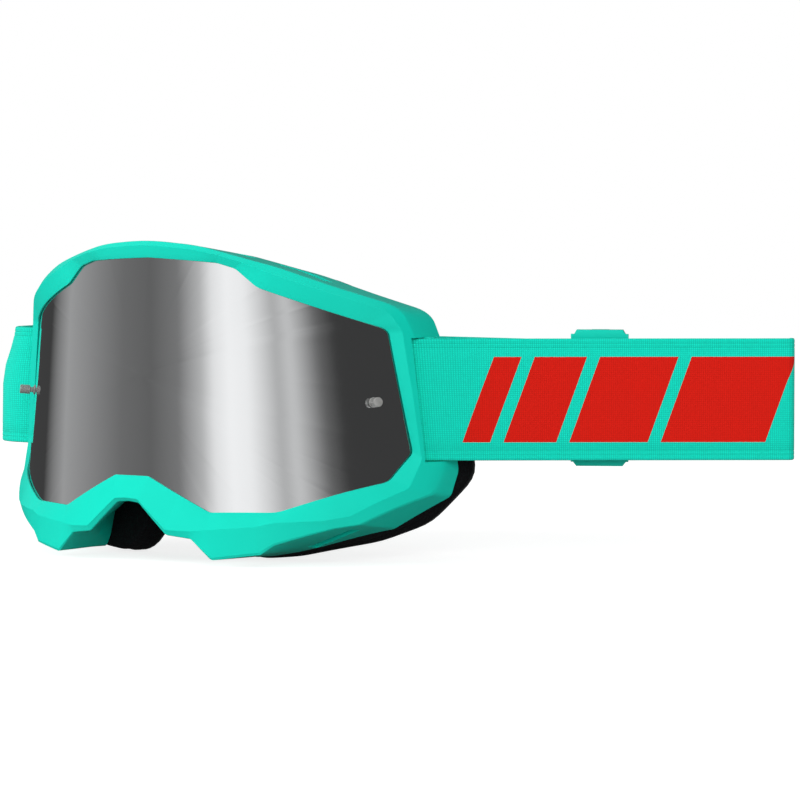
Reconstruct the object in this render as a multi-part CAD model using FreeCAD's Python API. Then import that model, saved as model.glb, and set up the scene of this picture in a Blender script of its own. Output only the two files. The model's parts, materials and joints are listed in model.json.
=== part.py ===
"""Motocross goggles with an elastic strap, one STEP file per sub-part.

Two frames are used while modelling:
  goggle frame  the lens axis is vertical, X to the wearer's left, Y towards the
                face, origin at the front of the lens on the centre line;
  strap frame   the goggle frame leant back by LEAN about X, so the strap is level.
At the end everything moves together, so the origin is the bottom centre of the
whole part's bounding box.
"""
import FreeCAD, Part
import math
import os

V = FreeCAD.Vector

# --- driving dimensions (mm, degrees) -------------------------------------------
LEAN = 7.4                 # backward lean of the lens against the level strap
LENS_R = 93.4              # radius of the lens's front face
LENS_T = 0.9               # lens thickness
LENS_LAP = 1.5             # how far the lens reaches into the frame's groove, along its surface
GROOVE_GAP = 0.15          # clearance of the lens in its groove, front and back
GROOVE_END = 0.35          # clearance past the lens's edge
RIM_PROUD = 2.5            # frame's front face in front of the lens
RIM_BACK = 3.6             # frame's front wall behind the lens face
WALL = 2.8                 # frame's side walls
FACE_R = 120.7             # radius of the face opening, seen from above
FACE_Y = 30.0              # depth of the frame on its centre line
FLANGE_T = 2.4             # rear flange that carries the foam
FRONT_Y, BACK_Y = -4.0, 75.0   # depths between which the body's solids are drawn
VENT_GAP, VENT_T = 0.05, 3.5   # filter foam inside the vents

FOAM_LAYERS = (("face_foam_base", 6.5), ("face_foam_core", 6.0), ("face_foam_fleece", 1.4))

POST_ANGLE = 51.9          # tear-off posts, round the lens from its centre
POST_Z = -26.5
POST_STALK_R = 1.15
POST_HEAD_R = 1.75
POST_HEAD_L = 3.6
POST_OUT = 5.4             # tip of the post in front of the lens
POST_FLARE_R = 2.2
WASHER_R = 2.8
WASHER_T = 1.0
WASHER_GAP = 0.06          # a flat washer against the curved lens

STRAP_W = 42.0             # width of the webbing
STRAP_TOP = -9.4           # upper edge of the webbing under the lens centre
WEB = 1.4                  # thickness of the webbing
SEAM = 0.05                # gap between layers that are sewn together
SLOT_AZ = 61.0             # direction of the frame's side at the strap slot
STRAP_AZ = 35.0            # direction of the strap's outer layer, from +X towards +Y
BAR = V(82.8, 52.6, 0)     # strap bar on the wearer's left, seen from above
BAR_R = 2.0
BAR_GAP = 0.1              # webbing to bar
FOLD_S = 125.8             # from the bar to the outside of the fold
FOLD_R = 2.0               # centre-line radius of the fold
REAR_AZ = 28.0             # direction of the layer behind the fold
REAR_Y = 84.5              # strap behind the foam
REAR_BEND_R = 15.0         # bend from that stretch towards the fold
SLIDER_BACK = 64.5         # slider's middle to the fold, along the strap
RING_X = 16.0              # middle of the ring behind the goggles
TAIL_X = 40.0              # where the sewn-back layer starts to follow the slider
SIDE_X = -103.0            # strap beside the goggles on the wearer's right
SIDE_R = 12.0              # bend from the right strap bar to that side
LAYER_GAP = 0.25           # slider and sewn end to the webbing they slide on
SLIDER_L = 20.0
SLIDER_H = 47.2
SLIDER_BAR = 2.8
SLIDER_T = 1.7
SLIDER_MID_T = 1.6
MID_BAR_GAP = 0.1          # sewn end to the slider's middle bar
TAIL_OFF = WEB + LAYER_GAP + WEB + SLIDER_MID_T + 2 * MID_BAR_GAP  # sewn-back layer behind the main one
EDGE_GAP = 0.5             # webbing's edge to a buckle's rails
RING_BAR_R = TAIL_OFF / 2 - WEB / 2 - 0.15
RING_PITCH = 9.0           # between the ring's two bars

# Outlines in the goggle frame, seen from the front: right half, from the top
# centre clockwise to the bottom centre. Each corner is (x, z, rounding radius).
PORT = [(0, 18.4, 0), (26.5, 17.3, 10), (33.2, 15.6, 6), (40.6, 9.6, 8), (76.0, -1.2, 3.5),
        (82.7, -42.6, 6), (78.4, -53.2, 4), (51.5, -66.6, 12), (30.6, -68.1, 4), (7.0, -56.9, 3),
        (0, -56.9, 0)]
# The body's outline at the front of the lens and TAPER_Y behind it, corner for corner:
# the nose opening widens and the feet fade out towards the face.
TAPER_Y = 33.0
BODY = [(0, 24.4, 0), (19.9, 23.0, 40), (46.8, 17.0, 60), (78.5, 6.8, 5), (82.9, -1.5, 6),
        (88.8, -47.0, 10), (87.4, -56.0, 4), (73.3, -68.7, 6), (68.4, -69.9, 2), (51.4, -78.6, 1.5),
        (49.6, -82.6, 1.2), (32.3, -84.9, 2), (24.6, -77.6, 2), (16.2, -76.8, 2), (4.6, -66.2, 3),
        (0, -65.8, 0)]
BODY_REAR = BODY[:8] + [(67.0, -70.9, 2), (52.0, -76.8, 1.5), (45.0, -79.0, 1.2), (35.5, -81.2, 2),
                        (33.6, -77.0, 2), (32.0, -68.5, 2), (22.0, -61.0, 3), (0, -59.5, 0)]
FLANGE_HOLE = [(0, 17.0, 0), (44.0, 10.5, 20), (73.0, -1.0, 6), (79.5, -47.0, 8), (66.0, -62.0, 6),
               (50.0, -69.5, 6), (41.0, -71.5, 4), (27.0, -56.0, 4), (0, -52.0, 0)]
# Outline of the foam on the face and of the hole in it.
FOAM = [(0, 23.2, 0), (19.9, 21.8, 40), (46.8, 15.8, 40), (66.0, 7.5, 20), (78.0, -5.5, 14),
        (87.5, -46.5, 10), (82.0, -58.0, 6), (77.0, -65.6, 6), (63.6, -73.0, 20), (38.6, -80.0, 20),
        (23.0, -81.6, 3), (17.5, -76.0, 3), (11.0, -65.0, 4), (0, -62.0, 0)]
FOAM_HOLE = [(0, 10.5, 0), (44.0, 3.5, 20), (69.0, -7.0, 10), (72.5, -46.0, 12), (58.0, -59.0, 12),
             (37.0, -65.0, 10), (22.0, -55.0, 6), (0, -50.5, 0)]


# --- helpers ----------------------------------------------------------------------
def inset(half, d):
    """The right half of an outline moved inwards by d (outwards if d is negative)."""
    pts = [(-half[1][0], half[1][1])] + [(x, z) for x, z, r in half] + [(-half[-2][0], half[-2][1])]
    out = []
    for i, (x, z, r) in enumerate(half):
        (x0, z0), (x1, z1), (x2, z2) = pts[i:i + 3]
        n1 = unit(z1 - z0, -(x1 - x0))
        n2 = unit(z2 - z1, -(x2 - x1))
        k = d / (1 + n1[0] * n2[0] + n1[1] * n2[1])
        out.append((x1 + k * (n1[0] + n2[0]), z1 + k * (n1[1] + n2[1]), r))
    return [(0 if x == 0 else q[0], q[1], q[2]) for (x, z, r), q in zip(half, out)]


def around(half, d):
    """An outline moved in by d, measured along the curved lens face and not in plan."""
    flat = [(LENS_R * math.asin(x / LENS_R), z, r) for x, z, r in half]
    return [(LENS_R * math.sin(u / LENS_R), z, r) for u, z, r in inset(flat, d)]


def unit(a, b):
    length = math.hypot(a, b)
    return a / length, b / length


def rounded(corners, closed=True):
    """Edges of a path through corners (point, radius), each rounded by an arc."""
    n = len(corners)
    points = [p for p, r in corners]
    turns = range(n) if closed else range(1, n - 1)
    half = {}
    cut = dict.fromkeys(range(n), 0.0)
    for i in turns:
        u, w = points[i - 1] - points[i], points[(i + 1) % n] - points[i]
        half[i] = u.getAngle(w) / 2
        if half[i] < math.pi / 2 - 0.01:
            cut[i] = corners[i][1] / math.tan(half[i])
    path = []
    fit = [1.0] * n
    for i in range(n if closed else n - 1):
        j = (i + 1) % n
        room = 0.98 * (points[j] - points[i]).Length / max(cut[i] + cut[j], 1e-9)
        fit[i], fit[j] = min(fit[i], room), min(fit[j], room)
    ends = {}
    for i in range(n):
        u = (points[i - 1] - points[i]).normalize()
        w = (points[(i + 1) % n] - points[i]).normalize()
        ends[i] = (points[i] + u * cut[i] * fit[i], points[i] + w * cut[i] * fit[i])
    for i in range(n):
        if cut[i] > 0:
            reach = cut[i] * fit[i] * (1 / math.cos(half[i]) - math.tan(half[i]))
            inward = (ends[i][0] + ends[i][1] - points[i] * 2).normalize()
            path.append(Part.Arc(ends[i][0], points[i] + inward * reach, ends[i][1]).toShape())
        if closed or i < n - 1:
            path.append(Part.LineSegment(ends[i][1], ends[(i + 1) % n][0]).toShape())
    return path


def outline_wire(half, y):
    """Closed wire of a symmetrical outline, at one depth."""
    mirror = [(-x, z, r) for x, z, r in reversed(half) if x > 0]
    return Part.Wire(rounded([(V(x, y, z), r) for x, z, r in half + mirror]))


def prism(half, y0, y1):
    """Straight-sided solid of a symmetrical outline between two depths."""
    return Part.Face(outline_wire(half, y0)).extrude(V(0, y1 - y0, 0))


def tapered(d):
    """Solid inside the body's outline moved in by d: tapered to TAPER_Y, then straight."""
    front, rear = inset(BODY, d), inset(BODY_REAR, d)
    k = -FRONT_Y / TAPER_Y
    ahead = [(x - k * (u - x), z - k * (w - z), 0) for (x, z, r), (u, w, q) in zip(front, rear)]
    behind = [(x, z, 0) for x, z, r in rear]
    nose = Part.makeLoft([outline_wire(ahead, FRONT_Y), outline_wire(behind, TAPER_Y)], True, True)
    return nose.fuse(prism(behind, TAPER_Y, BACK_Y)).removeSplitter()


def lens_cylinder(radius):
    return Part.makeCylinder(radius, 300, V(0, LENS_R, -150), V(0, 0, 1))


def face_cylinder(depth):
    """Everything behind the face surface, moved back by depth."""
    return Part.makeCylinder(FACE_R, 300, V(0, FACE_Y + depth + FACE_R, -150), V(0, 0, 1))


def lean(shape):
    """From the goggle frame to the strap frame."""
    out = shape.copy()
    out.rotate(V(0, 0, 0), V(1, 0, 0), -LEAN)
    return out


def box(x0, x1, y0, y1, z0, z1):
    return Part.makeBox(x1 - x0, y1 - y0, z1 - z0, V(x0, y0, z0))


def largest(shape):
    return max(shape.Solids, key=lambda solid: solid.Volume)


def mirrored(shape):
    return shape.mirror(V(0, 0, 0), V(1, 0, 0))


def ribbon(corners, thickness=WEB, z0=None, z1=None):
    """Webbing that follows a path seen from above: corners are (x, y, radius)."""
    z0 = STRAP_TOP - STRAP_W if z0 is None else z0
    z1 = STRAP_TOP if z1 is None else z1
    sides = []
    for side in (1, -1):
        d = side * thickness / 2
        moved = []
        for i, (x, y, r) in enumerate(corners):
            before = corners[max(i - 1, 0)]
            after = corners[min(i + 1, len(corners) - 1)]
            t1 = unit(x - before[0], y - before[1]) if i else unit(after[0] - x, after[1] - y)
            t2 = unit(after[0] - x, after[1] - y) if i < len(corners) - 1 else t1
            n1, n2 = (-t1[1], t1[0]), (-t2[1], t2[0])
            k = d / (1 + n1[0] * n2[0] + n1[1] * n2[1])
            turn = t1[0] * t2[1] - t1[1] * t2[0]
            radius = r - d if turn > 0 else r + d
            moved.append((V(x + k * (n1[0] + n2[0]), y + k * (n1[1] + n2[1]), z0), radius))
        sides.append(rounded(moved, closed=False))
    left, right = sides
    caps = [Part.LineSegment(left[-1].lastVertex(True).Point, right[-1].lastVertex(True).Point).toShape(),
            Part.LineSegment(left[0].firstVertex(True).Point, right[0].firstVertex(True).Point).toShape()]
    loop = Part.__sortEdges__(left + right + caps)
    return Part.Face(Part.Wire(loop)).extrude(V(0, 0, z1 - z0))


class Line:
    """A straight stretch of strap seen from above: s along it, n to its left."""

    def __init__(self, origin, azimuth):
        a = math.radians(azimuth)
        self.o, self.t, self.n = origin, V(math.cos(a), math.sin(a), 0), V(-math.sin(a), math.cos(a), 0)
        self.azimuth = azimuth

    def at(self, s, n=0.0):
        return self.o + self.t * s + self.n * n

    def corner(self, s, n, r):
        p = self.at(s, n)
        return (p.x, p.y, r)

    def block(self, s0, s1, n0, n1, z0, z1):
        """A box in this line's own directions."""
        shape = box(s0, s1, n0, n1, z0, z1)
        shape.rotate(V(0, 0, 0), V(0, 0, 1), self.azimuth)
        shape.translate(V(self.o.x, self.o.y, 0))
        return shape


# --- strap layout, seen from above --------------------------------------------------
LEG = BAR_R + BAR_GAP + WEB / 2            # centre line of webbing round a strap bar
near = Line(BAR, STRAP_AZ)
fold_in = near.at(FOLD_S - FOLD_R - WEB / 2, -LEG)
fold_mid = near.at(FOLD_S - FOLD_R - WEB / 2, -LEG + FOLD_R)
# The rear layer starts at the fold and runs back towards the goggles.
rear = Line(fold_mid + V(-math.sin(math.radians(REAR_AZ)), math.cos(math.radians(REAR_AZ)), 0) * FOLD_R,
            REAR_AZ)
bend_s = (REAR_Y - rear.o.y) / rear.t.y    # where the rear layer turns along X
far = Line(V(-BAR.x, BAR.y, 0), 180.0)
middle = Line(rear.at(-SLIDER_BACK), REAR_AZ)   # the slider's middle
MID_Z = STRAP_TOP - STRAP_W / 2
HALF_W = STRAP_W / 2


def strap_main():
    """From the left strap bar round the fold, through the slider and ring, back to the slider."""
    turn = rear.at((FOLD_S - WEB / 2 - (rear.o - near.o).dot(near.t)) / rear.t.dot(near.t))
    path = [near.corner(24, -LEG + WEB + SEAM, 0), near.corner(11, -LEG + WEB + SEAM, 6),
            near.corner(4.5, LEG, 5), near.corner(-LEG, LEG, LEG - 0.05), near.corner(-LEG, -LEG, LEG - 0.05),
            near.corner(FOLD_S - WEB / 2, -LEG, FOLD_R - 0.05),
            (turn.x, turn.y, FOLD_R - 0.05),
            rear.corner(bend_s, 0, REAR_BEND_R),
            (RING_X + RING_PITCH / 2 - TAIL_OFF / 2, REAR_Y, TAIL_OFF / 2 - 0.05),
            (RING_X + RING_PITCH / 2 - TAIL_OFF / 2, REAR_Y + TAIL_OFF, TAIL_OFF / 2 - 0.05),
            (TAIL_X - SEAM, REAR_Y + TAIL_OFF, 0)]
    return ribbon(path)


def strap_tail():
    """The end that is sewn round the slider's middle bar. It follows the slider."""
    bend = rear.at(bend_s)
    shift = TAIL_OFF * math.tan(math.radians(REAR_AZ / 2))
    inner = WEB + LAYER_GAP
    end = SLIDER_BAR / 2 + MID_BAR_GAP + WEB / 2 + 0.2
    path = [(TAIL_X, REAR_Y + TAIL_OFF, 0), (bend.x - shift, bend.y + TAIL_OFF, REAR_BEND_R + TAIL_OFF),
            middle.corner(end, TAIL_OFF, 1.1), middle.corner(end, inner, 1.1),
            middle.corner(-3.6, inner, 2), middle.corner(-6.2, TAIL_OFF - WEB - SEAM, 2),
            middle.corner(-9.5, TAIL_OFF - WEB - SEAM, 0)]
    return ribbon(path)


def strap_short():
    """From the ring round the wearer's right side to the right strap bar."""
    bar2 = RING_X - RING_PITCH / 2
    leg = TAIL_OFF / 2
    y_in, y_out = REAR_Y, REAR_Y + TAIL_OFF
    path = [(bar2 - 22, y_in + WEB + SEAM, 0), (bar2 - 9, y_in + WEB + SEAM, 4), (bar2 - 5, y_out, 4),
            (bar2 + leg, y_out, leg - 0.05), (bar2 + leg, y_in, leg - 0.05),
            (SIDE_X, y_in, REAR_BEND_R), (SIDE_X, BAR.y - LEG, SIDE_R),
            far.corner(-LEG, LEG, LEG - 0.05), far.corner(-LEG, -LEG, LEG - 0.05),
            far.corner(1.5, -LEG, 2), far.corner(5.0, LEG - WEB - SEAM, 3),
            (SIDE_X + WEB + SEAM, BAR.y - LEG + WEB + SEAM, SIDE_R - WEB - SEAM),
            (SIDE_X + WEB + SEAM, BAR.y + 17, 0)]
    return ribbon(path)


def slider():
    """Three-bar slider: outer bars inside the strap, middle bar outside it."""
    top, edge = SLIDER_H / 2, HALF_W + EDGE_GAP
    inner1 = -WEB / 2 - LAYER_GAP
    inner0 = inner1 - SLIDER_T
    outer0 = WEB * 1.5 + LAYER_GAP + MID_BAR_GAP
    outer1 = outer0 + SLIDER_MID_T
    body = None
    for z0, z1 in ((MID_Z + edge, MID_Z + top), (MID_Z - top, MID_Z - edge)):
        rail = middle.block(-SLIDER_L / 2, SLIDER_L / 2, inner0, 0.9, z0, z1)
        foot = middle.block(-SLIDER_BAR / 2 - 1.6, SLIDER_BAR / 2 + 1.6, 0.9, outer1, z0, z1)
        body = rail.fuse(foot) if body is None else body.fuse(rail).fuse(foot)
    for s in (-SLIDER_L / 2, SLIDER_L / 2 - SLIDER_BAR):
        body = body.fuse(middle.block(s, s + SLIDER_BAR, inner0, inner1, MID_Z - edge - 1, MID_Z + edge + 1))
    half_bar, reach = SLIDER_BAR / 2, edge + 1
    body = body.fuse(middle.block(-half_bar, half_bar, outer0, outer1, MID_Z - reach, MID_Z + reach))
    body = body.removeSplitter()
    corners = [e for e in body.Edges if is_corner(e, middle, top)]
    return body.makeChamfer(2.2, corners)


def is_corner(edge, line, top):
    """The slider's four outside corners, which run across its thickness."""
    if len(edge.Vertexes) != 2:
        return False
    a, b = (v.Point for v in edge.Vertexes)
    across = abs((b - a).dot(line.n)) > 0.99 * (b - a).Length
    s = abs((a - line.o).dot(line.t))
    return across and abs(s - SLIDER_L / 2) < 0.01 and abs(abs(a.z - MID_Z) - top) < 0.01


def strap_ring():
    """Rectangular ring that joins the main strap to the short strap."""
    y = REAR_Y + TAIL_OFF / 2
    z = HALF_W + EDGE_GAP + RING_BAR_R
    x0, x1 = RING_X - RING_PITCH / 2, RING_X + RING_PITCH / 2
    corners = [(V(x, y, MID_Z + dz), 2.0) for x, dz in ((x0, -z), (x1, -z), (x1, z), (x0, z))]
    spine = Part.Wire(Part.__sortEdges__(rounded(corners)))
    first = spine.Edges[0]
    start = first.firstVertex(True).Point
    tangent = first.tangentAt(first.FirstParameter)
    section = Part.Wire(Part.makeCircle(RING_BAR_R, start, tangent))
    return spine.makePipeShell([section], True, False, 1)


def bar_tacks(line, s_list, n0, n1):
    """Rows of thread that hold two layers of webbing together."""
    rows = []
    for s in s_list:
        rows.append(line.block(s - 0.6, s + 0.6, n0, n1, MID_Z - HALF_W + 2.5, MID_Z + HALF_W - 2.5))
    return Part.makeCompound(rows)


# --- goggle parts ---------------------------------------------------------------------
def frame():
    """Moulded frame: curved front, walls back to a flange, lens groove, slots and vents."""
    front = lens_cylinder(LENS_R + RIM_PROUD)
    behind = face_cylinder(0)
    shell = tapered(0).common(front).cut(behind)
    cavity = tapered(WALL).common(lens_cylinder(LENS_R - RIM_BACK))
    shell = shell.cut(cavity.cut(face_cylinder(-FLANGE_T)))
    shell = shell.cut(prism(FLANGE_HOLE, 15, BACK_Y))
    shell = shell.cut(prism(PORT, -10, 90).common(lens_cylinder(LENS_R + 20)).cut(face_cylinder(-FLANGE_T - 6)))
    groove = prism(around(PORT, -LENS_LAP - GROOVE_END), -10, 90)
    groove = groove.common(lens_cylinder(LENS_R + GROOVE_GAP).cut(lens_cylinder(LENS_R - LENS_T - GROOVE_GAP)))
    shell = shell.cut(groove)
    for x in (-45, -17, 17, 45):
        shell = shell.cut(box(x - 11, x + 11, 17 + abs(x) * 0.2, 22 + abs(x) * 0.2, 5, 30))
    for x in (-60, 60):
        shell = shell.cut(box(x - 9, x + 9, 35, 40, -90, -65))
    body = lean(shell)
    slot = strap_slot()
    body = body.cut(slot).cut(mirrored(slot))
    bar = Part.makeCylinder(BAR_R, STRAP_W + 6, V(BAR.x, BAR.y, MID_Z - HALF_W - 3))
    body = body.fuse(bar).fuse(mirrored(bar)).removeSplitter()
    return body


def strap_slot():
    """Clearance for the webbing round the left strap bar: one opening each side of the bar."""
    z0, z1 = MID_Z - HALF_W - 1.2, MID_Z + HALF_W + 1.2
    side = Line(BAR, SLOT_AZ)
    corners = [(-4.4, z0), (8.4, z0), (8.4, z1), (-7.8, z1)]
    points = [side.at(s, -16) + V(0, 0, z) for s, z in corners]
    return Part.Face(Part.makePolygon(points + points[:1])).extrude(side.n * 28)


def lens():
    shell = lens_cylinder(LENS_R).cut(lens_cylinder(LENS_R - LENS_T))
    body = prism(around(PORT, -LENS_LAP), -10, 70).common(shell)
    for sign in (-1, 1):
        body = body.cut(post_cylinder(POST_STALK_R, -6, 6, sign))
    return lean(body)


def post_cylinder(radius, out0, out1, sign):
    """A cylinder on a tear-off post's axis, from out0 to out1 in front of the lens."""
    a = math.radians(POST_ANGLE) * sign
    axis = V(math.sin(a), -math.cos(a), 0)
    start = V(0, LENS_R, POST_Z) + axis * (LENS_R + out0)
    return Part.makeCylinder(radius, out1 - out0, start, axis)


def tear_off_post(sign):
    body = post_cylinder(POST_STALK_R, -LENS_T - WASHER_T - 0.5, POST_OUT, sign)
    body = body.fuse(post_cylinder(POST_HEAD_R, POST_OUT - POST_HEAD_L, POST_OUT, sign))
    body = body.fuse(post_cylinder(POST_FLARE_R, 0, 0.8, sign)).removeSplitter()
    return lean(body)


def tear_off_washers():
    rings = []
    for sign in (-1, 1):
        ring = post_cylinder(WASHER_R, -LENS_T - WASHER_T, -LENS_T - WASHER_GAP, sign)
        rings.append(lean(ring.cut(post_cylinder(POST_STALK_R, -LENS_T - WASHER_T - 1, 1, sign))))
    return Part.makeCompound(rings)


def face_foam():
    """Three bonded layers on the rear flange, clear of the strap where it passes its bars."""
    ring = prism(FOAM, 5, 110).cut(prism(FOAM_HOLE, 4, 111))
    depth = 0.0
    layers = {}
    for name, thickness in FOAM_LAYERS:
        layer = ring.common(face_cylinder(depth)).cut(face_cylinder(depth + thickness))
        slot = strap_slot()
        layers[name] = largest(lean(layer).cut(slot).cut(mirrored(slot)))
        depth += thickness
    return layers


def vent_foams():
    """Filter strips inside the top and cheek vents."""
    band = tapered(WALL + VENT_GAP).cut(tapered(WALL + VENT_T))
    front = lens_cylinder(LENS_R - RIM_BACK - 0.3)
    band = band.common(front).cut(face_cylinder(-FLANGE_T - 0.3))
    top = largest(band.common(box(-60, 60, 13, 33, 0, 30)))
    cheek = largest(band.common(box(48, 72, 34, 44, -90, -60)))
    return {"top_vent_foam": lean(top), "cheek_vent_foam_left": lean(cheek),
            "cheek_vent_foam_right": lean(mirrored(cheek))}


def grip_beads():
    """Silicone lines on the inner face of the strap's rear layer."""
    beads = []
    n = WEB / 2
    x0, x1 = RING_X + 14, rear.at(bend_s).x - 16
    for dz in (-9, 0, 9):
        beads.append(box(x0, x1, REAR_Y - n - 0.4, REAR_Y - n, MID_Z + dz - 1.0, MID_Z + dz + 1.0))
    return Part.makeCompound(beads)


def build():
    parts = {"frame": frame(), "lens": lens(), "tear_off_post_left": tear_off_post(1),
             "tear_off_post_right": tear_off_post(-1), "tear_off_washers": tear_off_washers()}
    parts.update(face_foam())
    parts.update(vent_foams())
    parts["strap_main"] = strap_main()
    parts["strap_tail"] = strap_tail()
    parts["strap_short"] = strap_short()
    parts["slider"] = slider()
    parts["strap_ring"] = strap_ring()
    n = -LEG + WEB / 2
    parts["stitching_left_bar"] = bar_tacks(near, (14, 19), n - 0.8, n + 0.8 + SEAM)
    ring_end = Line(V(RING_X - RING_PITCH / 2, REAR_Y + WEB / 2, 0), 0)
    side = Line(V(SIDE_X + (WEB + SEAM) / 2, BAR.y, 0), 90)
    parts["stitching_right_bar"] = bar_tacks(side, (11.5, 14.5), -0.8, 0.8)
    parts["stitching_ring"] = bar_tacks(ring_end, (-19, -13), -0.8, 0.8 + SEAM)
    parts["stitching_slider"] = bar_tacks(
        Line(middle.at(0, TAIL_OFF - (WEB + SEAM) / 2), REAR_AZ), (-8.2,), -0.8, 0.8)
    parts["grip_beads"] = grip_beads()
    return parts


def place_at_origin(parts):
    """Move everything so the origin is the bottom centre of the bounding box."""
    whole = Part.makeCompound(list(parts.values())).optimalBoundingBox(True)
    shift = V(-(whole.XMin + whole.XMax) / 2, -(whole.YMin + whole.YMax) / 2, -whole.ZMin)
    for shape in parts.values():
        shape.translate(shift)
    return shift, whole


def main():
    os.makedirs("parts", exist_ok=True)
    parts = build()
    shift, whole = place_at_origin(parts)
    print("origin shift", tuple(round(c, 3) for c in shift), "size",
          round(whole.XLength, 2), round(whole.YLength, 2), round(whole.ZLength, 2))
    for name, shape in parts.items():
        if not shape.isValid():
            print("INVALID", name)
        print(name, "solids", len(shape.Solids), "volume", round(shape.Volume, 1))
        shape.exportStep("parts/%s.step" % name)


main()
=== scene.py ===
"""Motocross goggles: the finished surfaces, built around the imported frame.

Outlines are in millimetres and turned into metres by MM. The goggle frame has its
origin at the front of the lens on the centre line, X to the wearer's left, Y towards
the face and Z along the lens's axis; LEAN tips it back into the level row frame.
"""
import json
import math

import bpy
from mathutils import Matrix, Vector


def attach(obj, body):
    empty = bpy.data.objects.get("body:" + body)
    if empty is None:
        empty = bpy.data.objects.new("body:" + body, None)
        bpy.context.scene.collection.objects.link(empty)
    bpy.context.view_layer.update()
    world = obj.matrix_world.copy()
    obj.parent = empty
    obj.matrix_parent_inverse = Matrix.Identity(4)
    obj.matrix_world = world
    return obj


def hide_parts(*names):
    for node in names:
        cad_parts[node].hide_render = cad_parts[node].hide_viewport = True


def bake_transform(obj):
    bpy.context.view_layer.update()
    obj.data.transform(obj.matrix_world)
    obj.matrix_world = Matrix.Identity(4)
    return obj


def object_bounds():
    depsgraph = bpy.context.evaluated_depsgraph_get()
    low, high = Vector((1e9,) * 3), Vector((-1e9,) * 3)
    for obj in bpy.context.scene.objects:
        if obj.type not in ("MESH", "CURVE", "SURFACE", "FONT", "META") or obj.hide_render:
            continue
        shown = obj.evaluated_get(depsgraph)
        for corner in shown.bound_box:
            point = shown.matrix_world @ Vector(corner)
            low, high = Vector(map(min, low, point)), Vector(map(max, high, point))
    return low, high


bl_info = {
    "name": "Motocross goggles",
    "version": (1, 0, 0),
    "blender": (4, 5, 0),
    "location": "3D View > Sidebar > Goggles",
    "description": "Builds finished motocross goggles around their packed frame",
    "category": "Object",
}

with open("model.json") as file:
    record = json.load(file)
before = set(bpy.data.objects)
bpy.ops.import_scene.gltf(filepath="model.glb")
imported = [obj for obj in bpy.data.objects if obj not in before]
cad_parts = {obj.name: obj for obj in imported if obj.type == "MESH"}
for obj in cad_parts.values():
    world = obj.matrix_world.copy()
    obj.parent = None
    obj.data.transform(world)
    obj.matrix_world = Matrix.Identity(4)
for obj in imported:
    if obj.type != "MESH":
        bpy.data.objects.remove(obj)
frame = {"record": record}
CAD_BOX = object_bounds()

# --- sizes -----------------------------------------------------------------------
MM = 0.001
LEAN = math.radians(7.4)
LENS_R, LENS_T, LENS_LAP = 93.4, 0.9, 1.5
FACE_R, FACE_Y, FLANGE_T = 120.7, 30.0, 2.4
WALL, RIM_BACK, TAPER_Y = 2.8, 3.6, 33.0
POST_ANGLE, POST_Z = math.radians(51.9), -26.5
STRAP_W, STRAP_TOP, WEB, SEAM = 42.0, -9.4, 1.4, 0.05
MID_Z = STRAP_TOP - STRAP_W / 2
BAR_X, BAR_Y, BAR_R = 82.8, 52.6, 2.0
LEG = BAR_R + 0.1 + WEB / 2
STRAP_AZ, REAR_AZ, SLOT_AZ = math.radians(35), math.radians(28), math.radians(61)
FOLD_S, FOLD_R = 125.8, 2.0
REAR_Y, REAR_BEND_R = 84.5, 15.0
SLIDER_BACK, SLIDER_L, SLIDER_H, SLIDER_BAR = 64.5, 20.0, 47.2, 2.8
SLIDER_T, SLIDER_MID_T, LAYER_GAP = 1.7, 1.6, 0.25
TAIL_OFF = WEB + LAYER_GAP + WEB + SLIDER_MID_T + 0.2
RING_X, RING_PITCH, RING_BAR_R = 16.0, 9.0, TAIL_OFF / 2 - WEB / 2 - 0.15
TAIL_X, SIDE_X, SIDE_R = 40.0, -103.0, 12.0
GROOVE_GAP, GROOVE_END = 0.15, 0.35            # round the lens: over its faces and past its edge
SLOT_REAR, SLOT_TOP, SLOT_FOOT = 8.4, -8.9, -5.1   # ends of a strap slot along the wall; the front slants
SLOT_OUT, SLOT_IN = 12, -16                    # ends of its cutter across the wall
SLOT_OVER, SLOT_UNDER = 0.3, 0.25              # clearance above and below the webbing
TOP_VENTS, TOP_VENT_HALF = (17, 45), 11        # places and half width of the vents
CHEEK_VENT, CHEEK_VENT_HALF = 60, 9
FOAM_DEPTHS = (0.0, 6.5, 12.5, 13.9)           # faces of the bonded foam layers, behind the frame
REAR_DROP, DROP_FROM, DROP_OVER = 1.0, 0.5, 1.5    # webbing behind the outer layer is stretched narrower
STRETCH_WEAVE = 3.0                            # extra rows of weave where the sewn end stretches
SIDE_BULGE, BULGE_FADE = 5.4, 20               # slack webbing stands out beside the wearer's right
BULGE_START, BULGE_RISE, BULGE_END = 4, 14, 8
STRIPE_WIDTHS, STRIPE_GAP, STRIPE_START = (9, 18, 27, 36), 4.5, 12


def mount_place(name):
    found = [m for m in frame["record"]["mounts"] if m["name"] == name]
    return Vector(found[0]["pos_m"])


def leaning(x, y, z):
    return Vector((x, y * math.cos(LEAN) + z * math.sin(LEAN), z * math.cos(LEAN) - y * math.sin(LEAN)))


def lens_origin():
    """Front of the lens on its centre line, from the two tear-off posts."""
    left, right = mount_place("tear_off_post_left"), mount_place("tear_off_post_right")
    reach = (left - right).length / MM / 2
    depth = LENS_R - reach / math.tan(POST_ANGLE)
    return (left + right) / 2 - leaning(0, depth, POST_Z) * MM


ORIGIN = lens_origin()

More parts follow.
